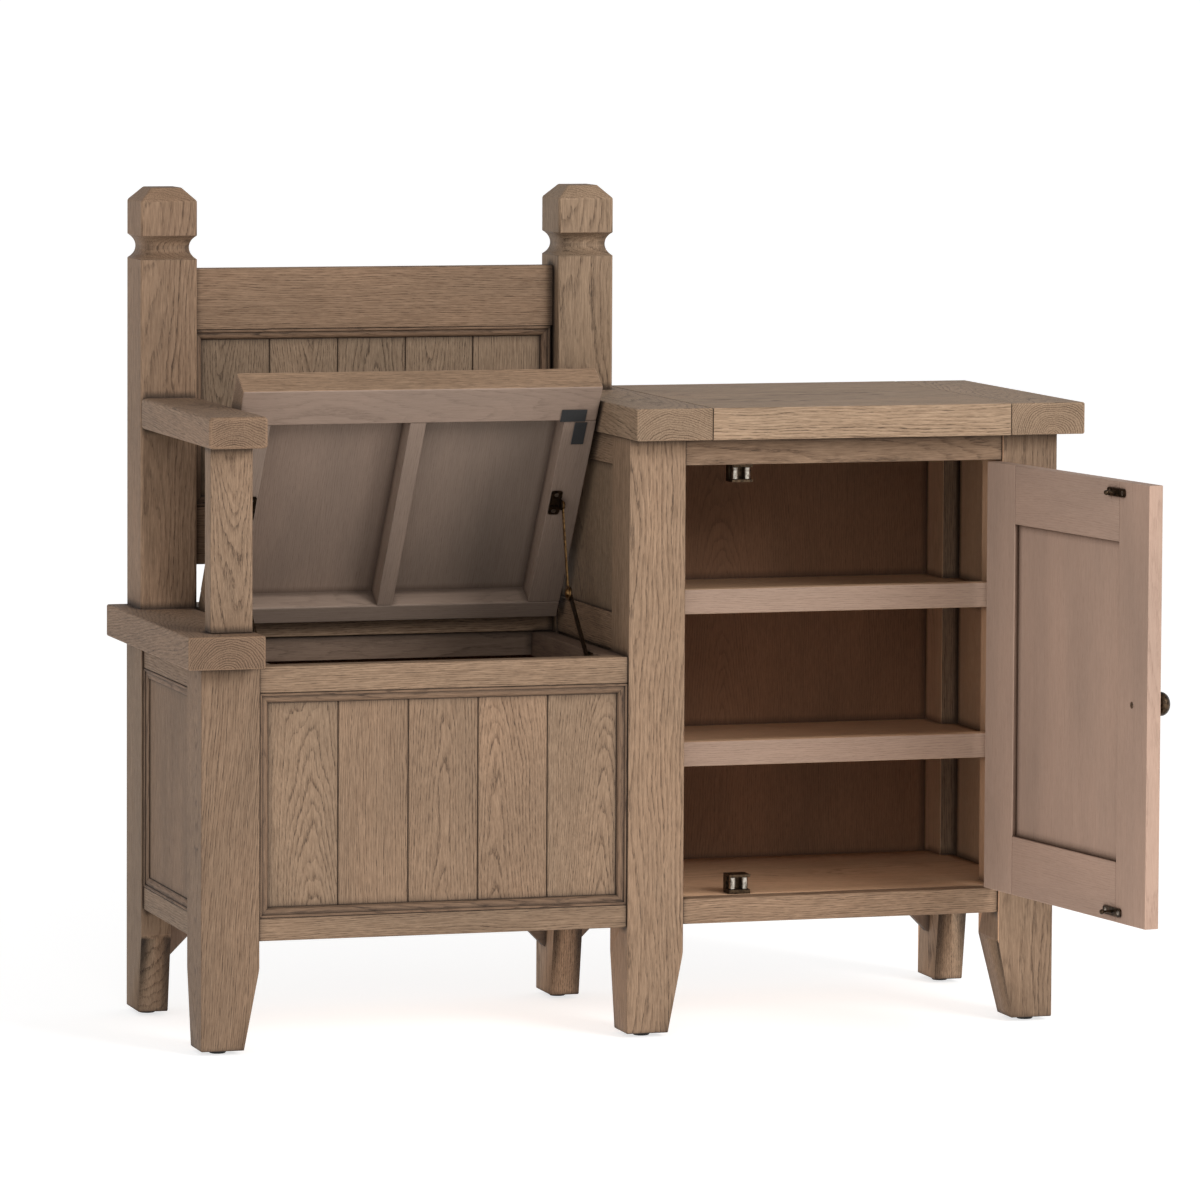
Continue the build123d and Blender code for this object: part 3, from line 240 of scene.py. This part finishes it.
def wooden(node, material, grain=None):
    """A node made of boards: each board gets its own grain direction, place in the log and tone,
    whose lightness also holds painted shade and light.
    """
    mesh = welded_mesh(node)
    body = frame["nodes"][node]["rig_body"]
    turn = closed_turn(body)
    grain_layer = mesh.verts.layers.float_vector.new("grain")
    tone_and_shade_layer = mesh.verts.layers.float_vector.new("tone_and_shade")
    end_layer = mesh.faces.layers.float.new("end_grain")
    edge_layer = mesh.faces.layers.float.new("arris")
    outer_layer = mesh.faces.layers.float.new("outer")
    boards = []
    for group in islands(mesh):
        turned = {vert: turn @ vert.co for face in group for vert in face.verts}
        low = [min(point[i] for point in turned.values()) for i in range(3)]
        boards.append((round(low[0], 3), round(low[2], 3), round(low[1], 3), len(boards), group, turned, low))
    boards.sort(key=lambda board: board[:4])
    cuts = CUTS.get(node, "p")
    for index, (_, _, _, _, group, turned, low) in enumerate(boards):
        dice = random.Random(f"{SEED}{node}{index}")
        order, spread = axes_by_length(list(turned.values()))
        if grain is not None:
            axis = "xyz".index(grain)
            order.remove(axis)
            order.insert(0, axis)
        along, wide, thin = order
        heart = pith_place(cuts[min(index, len(cuts) - 1)], spread[wide], dice)
        start = dice.uniform(0, LOG_LENGTH)
        levels = LIGHTNESS_WITH_PAINTED_SHADE.get(node, [dice.uniform(*USUAL_LIGHTNESS)])
        warmth = dice.uniform(*USUAL_WARMTH)
        if node in WARM:
            warmth = WARM_LEVEL
        if node in COOL:
            warmth = COOL_LEVEL
        tone_and_shade = Vector((warmth, levels[min(index, len(levels) - 1)], dice.random()))
        for vert, point in turned.items():
            length = point[along] - low[along]
            across = point[wide] - low[wide] - heart[0] + heart[2] * length
            depth = point[thin] - low[thin] - heart[1] + heart[3] * (length - spread[along] / 2)
            vert[grain_layer] = Vector((start + length, across, depth))
            vert[tone_and_shade_layer] = tone_and_shade
        for face in group:
            normal = turn @ face.normal
            face[end_layer] = float(abs(normal[along]) > END_FACING)
            outer = is_outer(node, body, normal, turn @ face.calc_center_median())
            face[edge_layer] = float(max(abs(part) for part in normal) <= FLAT_FACING)
            if body == "lid" and not outer and abs(normal[2]) < FACING:
                face[edge_layer] = LID_INNER_EDGE
            face[outer_layer] = float(outer)
    finish_piece(mesh, node + "_boards", node, material)


def metal(node, material):
    """A node of metal, plastic or felt, with smooth curves and crisp corners."""
    mesh = welded_mesh(node)
    for edge in mesh.edges:
        edge.smooth = len(edge.link_faces) == 2 and edge.calc_face_angle() < CREASE_ANGLE
    finish_piece(mesh, node + "_metal", node, material)


# ---------------------------------------------------------------- materials

class Tree:
    """A short way to write a material's nodes."""

    def __init__(self, name):
        self.material = bpy.data.materials.new(name)
        self.material.use_nodes = True
        self.tree = self.material.node_tree
        self.tree.nodes.clear()

    def add(self, kind, settings=None, **inputs):
        node = self.tree.nodes.new("ShaderNode" + kind)
        for key, value in (settings or {}).items():
            setattr(node, key, value)
        for key, value in inputs.items():
            self.give(node, key.replace("_", " "), value)
        return node

    def give(self, node, key, value):
        socket = node.inputs[int(key)] if key.isdigit() else node.inputs[key]
        if isinstance(value, bpy.types.NodeSocket):
            self.tree.links.new(value, socket)
        else:
            socket.default_value = value

    def math(self, operation, first, second=None, third=None, clamp=False):
        node = self.add("Math", {"operation": operation, "use_clamp": clamp})
        for index, value in enumerate((first, second, third)):
            if value is not None:
                self.give(node, str(index), value)
        return node.outputs[0]

    def mix(self, factor, first, second, blend="MIX"):
        node = self.add("Mix", {"data_type": "RGBA", "blend_type": blend})
        self.give(node, "0", factor)
        self.give(node, "6", first)
        self.give(node, "7", second)
        return node.outputs[2]

    def ramp(self, factor, stops):
        """A value read off a line through stops, which are pairs of a position and a grey level."""
        node = self.add("ValToRGB")
        self.give(node, "0", factor)
        ramp = node.color_ramp
        while len(ramp.elements) < len(stops):
            ramp.elements.new(0.5)
        for element, (position, value) in zip(ramp.elements, stops):
            element.position = position
            element.color = (value, value, value, 1)
        return node.outputs[0]

    def between(self, factor, low, high):
        node = self.add("MapRange")
        self.give(node, "0", factor)
        self.give(node, "3", low)
        self.give(node, "4", high)
        return node.outputs[0]

    def relief(self, height, strength, depth):
        return self.add("Bump", Strength=strength, Distance=depth, Height=height).outputs[0]

    def noise(self, vector, scale, detail=2.0, roughness=0.5):
        values = {"Vector": vector, "Scale": scale, "Detail": detail, "Roughness": roughness}
        return self.add("TexNoise", {"noise_dimensions": "3D"}, **values).outputs[0]

    def pushed(self, vector, along, scale, amount):
        """A vector moved across the grain by a noise whose frequencies along each axis are scale."""
        noise = self.add("TexNoise", {"noise_dimensions": "3D"})
        self.give(noise, "Vector", self.stretched(along, scale))
        self.give(noise, "Scale", 1.0)
        self.give(noise, "Detail", 2.0)
        centred = self.add("VectorMath", {"operation": "SUBTRACT"})
        self.give(centred, "0", noise.outputs["Color"])
        centred.inputs[1].default_value = (0.5, 0.5, 0.5)
        moved = self.add("VectorMath", {"operation": "MULTIPLY_ADD"})
        self.give(moved, "0", centred.outputs[0])
        moved.inputs[1].default_value = (0.0, amount, amount)
        self.give(moved, "2", vector)
        return moved.outputs[0]

    def stretched(self, vector, scale):
        node = self.add("VectorMath", {"operation": "MULTIPLY"})
        self.give(node, "0", vector)
        node.inputs[1].default_value = scale
        return node.outputs[0]

    def surface(self, color, roughness, normal=None, **fixed):
        shader = self.add("BsdfPrincipled")
        self.give(shader, "Base Color", color)
        self.give(shader, "Roughness", roughness)
        if normal is not None:
            self.give(shader, "Normal", normal)
        for key, value in fixed.items():
            self.give(shader, key.replace("_", " "), value)
        output = self.add("OutputMaterial")
        self.tree.links.new(shader.outputs[0], output.inputs[0])
        return self.material


def srgb(red, green, blue):
    """A colour given as 0 to 255 values, as linear light."""
    def linear(value):
        value = value / 255
        return value / 12.92 if value <= 0.04045 else ((value + 0.055) / 1.055) ** 2.4
    return (linear(red), linear(green), linear(blue), 1.0)


RING_WIDTH = 0.0027
GRAIN_DEPTH = 0.0008
WEATHERED = (srgb(150, 124, 100), srgb(96, 73, 54), srgb(44, 31, 22))


def oak(
    name, colors, contrast=0.85, pores=0.9, bump=0.35, rough=(0.62, 0.82), glaze_and_shade=0.95, inner=None, reach=0.01
):
    """Oak seen as a solid: yearly rings round a pith, pores along the grain, slow stains, and corners
    darkened by painted shade and glaze.

    colors are the light wood, the dark wood and the pores. inner is the same for the inner faces of the
    lid, the door and the cupboard; for the cupboard and the shelves it is a lighter oak, painted light.
    reach is how far the painted shade and glaze spread out of a corner.
    """
    tree = Tree(name)
    grain = tree.add("Attribute", {"attribute_name": "grain"}).outputs["Vector"]
    tone_and_shade = tree.add("Attribute", {"attribute_name": "tone_and_shade"}).outputs["Vector"]
    end = tree.add("Attribute", {"attribute_name": "end_grain"}).outputs["Fac"]
    arris = tree.add("Attribute", {"attribute_name": "arris"}).outputs["Fac"]
    tone_and_shade_parts = tree.add("SeparateXYZ", Vector=tone_and_shade).outputs
    light, dark, pore = colors
    if inner:
        outer = tree.add("Attribute", {"attribute_name": "outer"}).outputs["Fac"]
        light, dark, pore = [tree.mix(outer, inside, outside) for inside, outside in zip(inner, colors)]
        contrast = tree.math("MULTIPLY_ADD", outer, contrast - 0.45, 0.45)
        pores = tree.math("MULTIPLY_ADD", outer, pores - 0.35, 0.35)

    # the rings wander slowly along the board and waver a little
    bent = tree.pushed(grain, grain, (2.6, 9.0, 9.0), 0.034)
    bent = tree.pushed(bent, grain, (11.0, 60.0, 60.0), 0.0052)
    bent = tree.pushed(bent, grain, (60.0, 330.0, 330.0), 0.0011)
    place = tree.add("SeparateXYZ", Vector=bent).outputs
    across = tree.math("POWER", tree.math("ABSOLUTE", place[1]), 2.0)
    depth = tree.math("POWER", tree.math("ABSOLUTE", place[2]), 2.0)
    turns = tree.math("DIVIDE", tree.math("SQRT", tree.math("ADD", across, depth)), RING_WIDTH)
    ring = tree.math("FRACT", turns)
    early = tree.ramp(ring, [(0.0, 1.0), (0.12, 0.85), (0.28, 0.3), (0.5, 0.06), (0.93, 0.0), (1.0, 1.0)])
    year = tree.add("TexWhiteNoise", {"noise_dimensions": "1D"})
    tree.give(year, "W", tree.math("FLOOR", turns))
    early = tree.math("MULTIPLY", early, tree.math("MULTIPLY_ADD", year.outputs["Value"], 0.7, 0.3))

    # open pores: dark dashes along the grain, thickest in the early wood
    dashes = tree.noise(tree.stretched(grain, (85.0, 1400.0, 1400.0)), 1.0, 2.0, 0.6)
    dashes = tree.ramp(dashes, [(0.0, 0.0), (0.49, 0.0), (0.56, 1.0), (1.0, 1.0)])
    fibre = tree.noise(tree.stretched(grain, (34.0, 720.0, 720.0)), 1.0, 3.0, 0.75)
    pore_mask = tree.math("MULTIPLY", dashes, tree.math("MULTIPLY_ADD", early, 0.86, 0.13))

    # slow stains, and the tone of each board, whose lightness holds painted shade and light as well
    stain = tree.noise(tree.stretched(grain, (3.0, 11.0, 11.0)), 1.0, 3.0, 0.55)
    patch = tree.noise(tree.stretched(grain, (7.0, 34.0, 34.0)), 1.0, 3.0, 0.55)
    shade = tree.math("MULTIPLY_ADD", early, 0.5, 0.3)
    shade = tree.math("ADD", shade, tree.math("MULTIPLY_ADD", fibre, 2.3, -1.15))
    shade = tree.math("ADD", shade, tree.math("MULTIPLY_ADD", patch, 0.34, -0.17))
    shade = tree.math("ADD", shade, tree.math("MULTIPLY", end, tree.math("MULTIPLY", early, 0.9)))
    shade = tree.math("MULTIPLY", shade, contrast, clamp=True)
    color = tree.mix(shade, light, dark)
    warm = tree.mix(1.0, color, (1.06, 0.98, 0.94, 1.0), "MULTIPLY")
    cool = tree.mix(1.0, color, (0.95, 1.0, 1.02, 1.0), "MULTIPLY")
    warmth = tree.math("ADD", tree.math("MULTIPLY", tone_and_shade_parts[0], 0.5), tree.math("MULTIPLY", stain, 0.5))
    color = tree.mix(warmth, cool, warm)
    # the lightness is each board's own tone with painted shade and light, and the stains
    lightness = tree.math("ADD", tone_and_shade_parts[1], tree.math("MULTIPLY_ADD", stain, 0.5, -0.25))
    lightness = tree.math("SUBTRACT", lightness, tree.math("MULTIPLY", end, 0.12))
    lightness = tree.math("ADD", lightness, tree.math("MULTIPLY", arris, 0.1))
    grey = tree.add("CombineColor")
    for index in range(3):
        tree.give(grey, str(index), lightness)
    color = tree.mix(1.0, color, grey.outputs[0], "MULTIPLY")
    color = tree.mix(tree.math("MULTIPLY", pore_mask, pores), color, pore)

    # painted shade and glaze in corners, grooves and hollows: darker where ambient occlusion finds them
    corner = tree.add("AmbientOcclusion", {"samples": 6})
    corner.inputs["Distance"].default_value = reach
    closeness = [(0.0, 1.0), (0.5, 1.0), (0.7, 0.8), (0.87, 0.3), (0.97, 0.0), (1.0, 0.0)]
    hidden = tree.ramp(corner.outputs["AO"], closeness)
    shade_and_glaze_mask = tree.math("MULTIPLY", hidden, tree.math("MULTIPLY_ADD", patch, 0.5, 0.75), clamp=True)
    color = tree.mix(tree.math("MULTIPLY", shade_and_glaze_mask, glaze_and_shade), color, pore)

    height = tree.math("SUBTRACT", tree.math("MULTIPLY", fibre, 0.5), pore_mask)
    height = tree.math("SUBTRACT", height, tree.math("MULTIPLY", early, 0.4))
    relief = tree.relief(height, bump, GRAIN_DEPTH)
    return tree.surface(color, tree.between(fibre, *rough), relief, Specular_IOR_Level=0.3)


PATINA_SCALE = 260.0


def aged_metal(name, bright, dull, rough):
    """Metal with a patchy patina and a fine grit."""
    tree = Tree(name)
    place = tree.add("TexCoord").outputs["Object"]
    patches = tree.noise(place, PATINA_SCALE, 4.0, 0.6)
    grit = tree.noise(place, PATINA_SCALE * 9, 2.0, 0.6)
    blend = tree.ramp(patches, [(0.0, 0.0), (0.38, 0.0), (0.66, 1.0), (1.0, 1.0)])
    color = tree.mix(blend, bright, dull)
    return tree.surface(color, tree.between(grit, *rough), tree.relief(grit, 0.15, 0.0001), Metallic=1.0)


def soft_matter(name, color, fleck, scale, rough, sheen=0.0):
    """Felt or rubber: a fine mottled matt surface."""
    tree = Tree(name)
    place = tree.add("TexCoord").outputs["Object"]
    speckle = tree.noise(place, scale, 3.0, 0.7)
    mixed = tree.mix(tree.ramp(speckle, [(0.0, 0.0), (0.4, 0.0), (0.7, 1.0), (1.0, 1.0)]), color, fleck)
    return tree.surface(mixed, rough, tree.relief(speckle, 0.4, 0.0003), Sheen_Weight=sheen)


FINE = (0.5, 0.68)
OAK = oak("weathered_oak", WEATHERED)
# The mouldings: a darker oak, with the most painted shade and glaze in their hollows.
MOULDING_OAK_SHADED = oak(
    "moulding_oak_painted_shade", (srgb(126, 101, 80), srgb(78, 58, 43), srgb(34, 24, 17)), glaze_and_shade=1.0, reach=0.013,
)
# The cupboard's sides: weathered oak outside, and a much lighter oak of painted light on their inner faces.
CUPBOARD_OAK = oak(
    "cupboard_oak", WEATHERED, glaze_and_shade=0.8,
    inner=(srgb(204, 164, 131), srgb(158, 120, 91), srgb(76, 53, 38)),
)
LID_OAK = oak(
    "lid_oak", WEATHERED, bump=0.2, glaze_and_shade=0.6,
    inner=(srgb(134, 116, 103), srgb(109, 92, 80), srgb(72, 57, 47)),
)
DOOR_OAK = oak(
    "door_oak", WEATHERED, bump=0.2,
    inner=(srgb(174, 147, 130), srgb(148, 121, 105), srgb(92, 70, 56)),
)
# The shelves: smooth oak on their front edges, and a much lighter oak of painted light on their tops.
SHELF_OAK = oak(
    "shelf_oak", (srgb(158, 132, 114), srgb(126, 101, 84), srgb(74, 54, 42)), 0.55, 0.45, 0.2, FINE, 0.7,
    inner=(srgb(204, 167, 134), srgb(160, 126, 98), srgb(88, 66, 49)),
)
INSIDE_OAK = oak(
    "inside_oak", (srgb(138, 114, 94), srgb(96, 74, 57), srgb(46, 32, 23)), 0.8, 0.5, 0.2, glaze_and_shade=0.6,
    inner=(srgb(136, 98, 71), srgb(82, 56, 38), srgb(42, 27, 17)),
)
# The cupboard's floor: a lighter oak, painted light where light falls into the cupboard.
FLOOR_OAK_PAINTED_LIGHT = oak(
    "floor_oak_painted_light", (srgb(206, 168, 134), srgb(158, 122, 94), srgb(80, 58, 43)), 0.7, 0.5, 0.2, glaze_and_shade=0.6,
)
BOX_OAK = oak("box_oak", (srgb(124, 103, 87), srgb(92, 73, 60), srgb(48, 36, 28)), 0.7, 0.5, 0.2, glaze_and_shade=0.7)
BRASS = aged_metal("antique_brass", srgb(176, 138, 88), srgb(84, 62, 40), (0.24, 0.46))
BRONZE = aged_metal("dark_bronze", srgb(84, 68, 52), srgb(36, 29, 23), (0.32, 0.5))
STEEL = aged_metal("plated_steel", srgb(196, 188, 176), srgb(110, 102, 92), (0.22, 0.4))
RUBBER = soft_matter("black_rubber", srgb(22, 21, 20), srgb(34, 32, 30), 900.0, 0.7)
FELT = soft_matter("brown_felt", srgb(20, 20, 21), srgb(32, 31, 31), 2400.0, 0.95, 0.2)


# ---------------------------------------------------------------- dressing the nodes

OUTSIDE = [
    "front_left_leg", "front_middle_leg", "back_left_leg", "back_middle_leg",
    "bench_front_rails", "bench_front_boards", "bench_side_rails", "bench_side_panel",
    "seat_left_board", "seat_rear_board", "left_back_post", "right_back_post", "backrest_rails",
    "backrest_boards", "armrest", "arm_post", "cupboard_top_centre", "cupboard_top_ends",
    "cupboard_front_rails",
]
# Mouldings, which take the darker oak with the most painted shade and glaze.
MOULDINGS = ["bench_mouldings", "backrest_moulding"]
LID = ["lid_rails", "lid_stiles", "lid_muntin", "lid_panels"]
DOOR = ["door_stiles", "door_rails", "door_panel"]
SHELVES = ["upper_shelf", "lower_shelf"]
INSIDE = ["back_panels", "shelf_battens"]
BOX = ["rear_rails", "corner_blocks", "lid_support_rails"]
GRAIN = {
    "cupboard_side_panels": "z", "back_panels": "z", "bench_side_panel": "z", "door_panel": "z",
    "bench_front_boards": "z", "backrest_boards": "z", "cupboard_top_centre": "x", "floor_boards": "x",
}

for nodes, material, slot in (
    (OUTSIDE, OAK, "oak"), (CUPBOARD_SIDES, CUPBOARD_OAK, "oak"), (MOULDINGS, MOULDING_OAK_SHADED, "oak"),
    (LID, LID_OAK, "oak_smooth"), (DOOR, DOOR_OAK, "oak_smooth"), (SHELVES, SHELF_OAK, "oak_smooth"),
    (INSIDE, INSIDE_OAK, "oak_inside"), (BOX, BOX_OAK, "oak_inside"),
    (["floor_boards"], FLOOR_OAK_PAINTED_LIGHT, "oak_inside"),
):
    for node in nodes:
        wooden(node, material, GRAIN.get(node))

for nodes, material, slot in (
    (("fixed_hinge_leaves", "hinge_pins", "lid_hinge_leaves", "door_hinge_leaves"), BRASS, "antique_brass"),
    (("right_stay_upper_arm", "left_stay_upper_arm"), BRASS, "antique_brass"),
    (("stay_box_brackets", "stay_lid_brackets", "catch_bodies", "catch_strikes"), BRONZE, "dark_bronze"),
    (("right_stay_lower_arm", "left_stay_lower_arm", "door_knob"), BRONZE, "dark_bronze"),
    (("catch_left_rollers", "catch_right_rollers"), STEEL, "steel"),
    (("carcass_screws", "lid_screws", "door_screws"), STEEL, "steel"),
):
    for node in nodes:
        metal(node, material)
metal("foot_glides", RUBBER)
metal("lid_felt_pads", FELT)


# ---------------------------------------------------------------- floor, light and camera

def stage():
    """A plain pale floor, lit from within like a light table so that shadows on it stay faint."""
    size = 60.0
    data = bpy.data.meshes.new("floor")
    corners = [(-size, -size, 0), (size, -size, 0), (size, size, 0), (-size, size, 0)]
    data.from_pydata(corners, [], [(0, 1, 2, 3)])
    floor = bpy.data.objects.new("floor", data)
    bpy.context.scene.collection.objects.link(floor)
    tree = Tree("studio_floor")
    place = tree.add("TexCoord").outputs["Object"]
    haze = tree.noise(place, 0.7, 2.0)
    color = tree.mix(haze, (0.54, 0.54, 0.54, 1.0), (0.56, 0.56, 0.56, 1.0))
    glow = {"Emission_Color": (1.0, 1.0, 1.0, 1.0), "Emission_Strength": 0.69}
    data.materials.append(tree.surface(color, 0.9, Specular_IOR_Level=0.1, **glow))


def area_light(name, place, target, size, power):
    data = bpy.data.lights.new(name, "AREA")
    data.shape = "RECTANGLE"
    data.size = size[0]
    data.size_y = size[1]
    data.energy = power
    light = bpy.data.objects.new(name, data)
    light.location = place
    light.rotation_euler = (Vector(target) - Vector(place)).to_track_quat("-Z", "Y").to_euler()
    bpy.context.scene.collection.objects.link(light)


def studio():
    """White all round at eye level, dimmer overhead, with a soft key light from the front right."""
    world = bpy.data.worlds.new("studio")
    bpy.context.scene.world = world
    world.use_nodes = True
    tree = world.node_tree
    background = tree.nodes["Background"]
    direction = tree.nodes.new("ShaderNodeTexCoord")
    split = tree.nodes.new("ShaderNodeSeparateXYZ")
    sky = tree.nodes.new("ShaderNodeValToRGB")
    sky.color_ramp.elements[0].position = 0.25
    sky.color_ramp.elements[0].color = (1.0, 1.0, 1.0, 1.0)
    sky.color_ramp.elements[1].position = 0.8
    sky.color_ramp.elements[1].color = (0.34, 0.34, 0.34, 1.0)
    tree.links.new(direction.outputs["Generated"], split.inputs[0])
    tree.links.new(split.outputs[2], sky.inputs[0])
    tree.links.new(sky.outputs[0], background.inputs[0])
    background.inputs[1].default_value = 1.06
    middle = (0.0, 0.1, 0.5)
    area_light("key", (2.2, -3.8, 2.5), middle, (1.6, 1.6), 130)
    area_light("fill", (-1.4, -4.4, 2.2), middle, (2.0, 2.0), 30)


def camera():
    """The picture's own camera: where it stands, which way it looks and how it is shifted."""
    azimuth = math.radians(17.04)
    pitch = math.radians(4.22)
    roll = math.radians(0.30)
    ahead = Vector((math.sin(azimuth), math.cos(azimuth), 0.0))
    forward = ahead * math.cos(pitch) + Vector((0.0, 0.0, -math.sin(pitch)))
    level = Vector((math.cos(azimuth), -math.sin(azimuth), 0.0))
    upright = level.cross(forward)
    right = level * math.cos(roll) + upright * math.sin(roll)
    up = upright * math.cos(roll) - level * math.sin(roll)
    data = bpy.data.cameras.new("camera")
    data.sensor_width = 36.0
    data.lens = 212.38
    data.shift_x = 0.0027
    data.shift_y = -0.1308
    view = bpy.data.objects.new("camera", data)
    turn = Matrix((right, up, -forward)).transposed()
    place = (-2.4822, -7.9340, 1.3216)
    view.matrix_world = Matrix.Translation(place) @ turn.to_4x4()
    bpy.context.scene.collection.objects.link(view)
    bpy.context.scene.camera = view


stage()
studio()
camera()
bpy.context.scene.view_settings.view_transform = "Standard"
